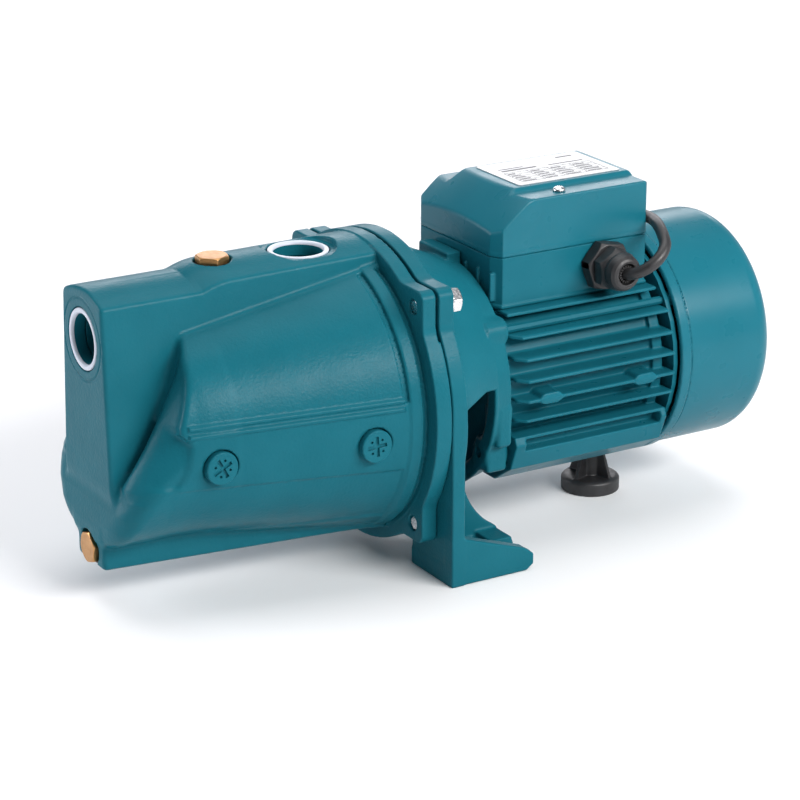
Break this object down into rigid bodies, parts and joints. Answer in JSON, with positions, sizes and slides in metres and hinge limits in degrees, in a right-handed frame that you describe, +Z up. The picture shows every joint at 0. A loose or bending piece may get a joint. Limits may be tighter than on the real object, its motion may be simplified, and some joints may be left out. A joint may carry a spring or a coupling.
{
  "type": "shallow well jet pump",
  "caption": "Self-priming shallow well jet pump: ribbed cast pump end with suction and discharge ports, slotted feet, finned motor, terminal box, fan cover and coiled mains lead.",
  "frame": {"origin": "on the floor under the middle of the pump, half way between the drain plug's head and the fan cover's grille, the free cord not counted", "axes": "+X along the shaft from the suction face towards the fan cover, +Y across towards the side without the cable gland, +Z up"},
  "size_m": [0.4252, 0.2883, 0.2091],
  "materials": {
    "teal_paint_cast": "glossy orange-peel enamel over cast iron",
    "teal_paint_motor": "glossy enamel over die-cast metal",
    "teal_paint_sheet": "smooth satin enamel over pressed sheet",
    "brass": "machined, slightly dulled",
    "port_liner": "smooth white moulding",
    "zinc": "bright zinc plate",
    "steel": "ground steel",
    "lamination": "varnished steel laminations",
    "copper": "varnished copper wire",
    "black_moulding": "fine-grained black moulding",
    "hydraulic_moulding": "glass-filled moulding",
    "carbon": "lapped carbon",
    "ceramic": "lapped ceramic",
    "rubber": "matt rubber",
    "cord_sheath": "satin black rubber sheath",
    "terminal_resin": "cream moulding",
    "capacitor_case": "pale grey moulding",
    "label_film": null
  },
  "bodies": {
    "pump": {"pump_casing": "teal_paint_cast", "motor_bracket": "teal_paint_cast", "side_plug_front_left": "teal_paint_cast", "side_plug_front_right": "teal_paint_cast", "side_plug_rear_left": "teal_paint_cast", "side_plug_rear_right": "teal_paint_cast", "motor_housing": "teal_paint_motor", "rear_shield": "teal_paint_motor", "terminal_box_base": "teal_paint_motor", "fan_cover": "teal_paint_sheet", "terminal_box_cover": "teal_paint_sheet", "ejector_nozzle": "brass", "suction_port_ring": "port_liner", "discharge_port_ring": "port_liner", "flange_bolt_1": "zinc", "flange_bolt_2": "zinc", "flange_bolt_3": "zinc", "flange_bolt_4": "zinc", "tie_rod_1": "zinc", "tie_rod_2": "zinc", "tie_rod_3": "zinc", "tie_rod_4": "zinc", "cover_screw_left": "zinc", "cover_screw_right": "zinc", "front_bearing_outer": "steel", "rear_bearing_outer": "steel", "stator_core": "lamination", "stator_winding": "copper", "gland_body": "black_moulding", "gland_nut": "black_moulding", "support_foot": "black_moulding", "mains_plug": "black_moulding", "ejector_venturi": "hydraulic_moulding", "diffuser_plate": "hydraulic_moulding", "seal_seat": "ceramic", "casing_seal_ring": "rubber", "terminal_box_gasket": "rubber", "gland_seal": "rubber", "power_cord": "cord_sheath", "power_cord_coil": "cord_sheath", "power_cord_tail": "cord_sheath", "terminal_block": "terminal_resin", "run_capacitor": "capacitor_case", "rating_label": "label_film"},
    "rotor": {"rotor_shaft": "steel", "rotor_core": "lamination", "impeller": "brass", "impeller_nut": "brass", "seal_head": "carbon", "seal_spring": "steel", "front_bearing_inner": "steel", "rear_bearing_inner": "steel", "shaft_slinger": "rubber", "cooling_fan": "black_moulding"},
    "front_ball_set": {"front_bearing_balls": "steel"},
    "rear_ball_set": {"rear_bearing_balls": "steel"},
    "priming_washer": {"priming_plug_washer": "rubber"},
    "priming_plug": {"priming_plug": "brass"},
    "drain_washer": {"drain_plug_washer": "rubber"},
    "drain_plug": {"drain_plug": "brass"}
  },
  "joints": [
    {"name": "rotor_spin", "type": "hinge", "parent": "pump", "child": "rotor", "pos_m": [-0.2104, 0, 0.0976], "axis": [1, 0, 0], "continuous": true},
    {"name": "front_balls_orbit", "type": "hinge", "parent": "pump", "child": "front_ball_set", "pos_m": [0.0204, 0, 0.0976], "axis": [1, 0, 0], "continuous": true},
    {"name": "rear_balls_orbit", "type": "hinge", "parent": "pump", "child": "rear_ball_set", "pos_m": [0.1378, 0, 0.0976], "axis": [1, 0, 0], "continuous": true},
    {"name": "priming_plug_turn", "type": "hinge", "parent": "pump", "child": "priming_washer", "pos_m": [-0.1304, 0, 0.1852], "axis": [0, 0, 1], "range_deg": [0, 2880]},
    {"name": "priming_plug_rise", "type": "slide", "parent": "priming_washer", "child": "priming_plug", "axis": [0, 0, 1], "range_m": [0, 0.01071]},
    {"name": "drain_plug_turn", "type": "hinge", "parent": "pump", "child": "drain_washer", "pos_m": [-0.2104, 0, 0.0321], "axis": [-1, 0, 0], "range_deg": [0, 2880]},
    {"name": "drain_plug_travel", "type": "slide", "parent": "drain_washer", "child": "drain_plug", "axis": [-1, 0, 0], "range_m": [0, 0.01071]}
  ],
  "couplings": [
    {"joint": "front_balls_orbit", "follows": "rotor_spin", "ratio": 0.4228},
    {"joint": "rear_balls_orbit", "follows": "rotor_spin", "ratio": 0.4228},
    {"joint": "priming_plug_rise", "follows": "priming_plug_turn", "m_per_rad": 0.00021279},
    {"joint": "drain_plug_travel", "follows": "drain_plug_turn", "m_per_rad": 0.00021279}
  ]
}
